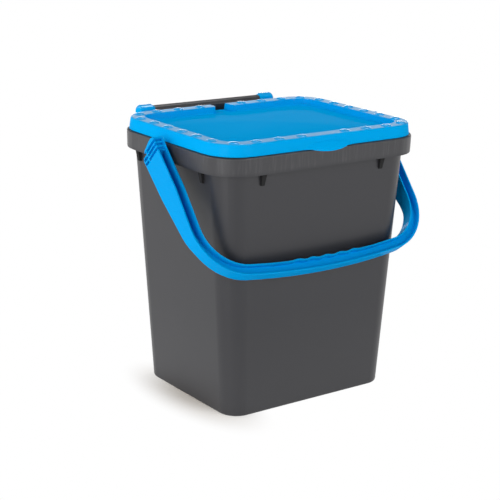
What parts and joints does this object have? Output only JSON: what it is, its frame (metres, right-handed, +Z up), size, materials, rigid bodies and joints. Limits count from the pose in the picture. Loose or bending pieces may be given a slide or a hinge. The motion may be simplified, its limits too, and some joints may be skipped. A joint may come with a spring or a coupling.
{
  "type": "lidded waste caddy",
  "caption": "Tapered rectangular waste caddy with a hooked, crowned lid, a pull tab, a rear hinge rail and a carrying bail that lies against the front wall.",
  "frame": {"origin": "on the floor, under the middle of the rim, on the flat pad of the underside", "axes": "+Z up, -Y the front with the pull tab, +Y the rear with the hinge rail, +X the right-hand side as seen from the front"},
  "size_m": [0.429, 0.3426, 0.4242],
  "materials": {
    "bucket_grey": "fine matt texture",
    "lid_blue": "semi-gloss",
    "bail_blue": "semi-gloss"
  },
  "bodies": {
    "bucket": {"bucket": "bucket_grey"},
    "lid": {"lid": "lid_blue"},
    "carrying_bail": {"carrying_bail": "bail_blue"}
  },
  "joints": [
    {"name": "lid_hinge", "type": "hinge", "parent": "bucket", "child": "lid", "pos_m": [0, 0.171, 0.4135], "axis": [-1, 0, 0], "range_deg": [0, 270]},
    {"name": "bail_pivot", "type": "hinge", "parent": "bucket", "child": "carrying_bail", "pos_m": [0, 0.0085, 0.388], "axis": [-1, 0, 0], "range_deg": [0, 235]}
  ]
}
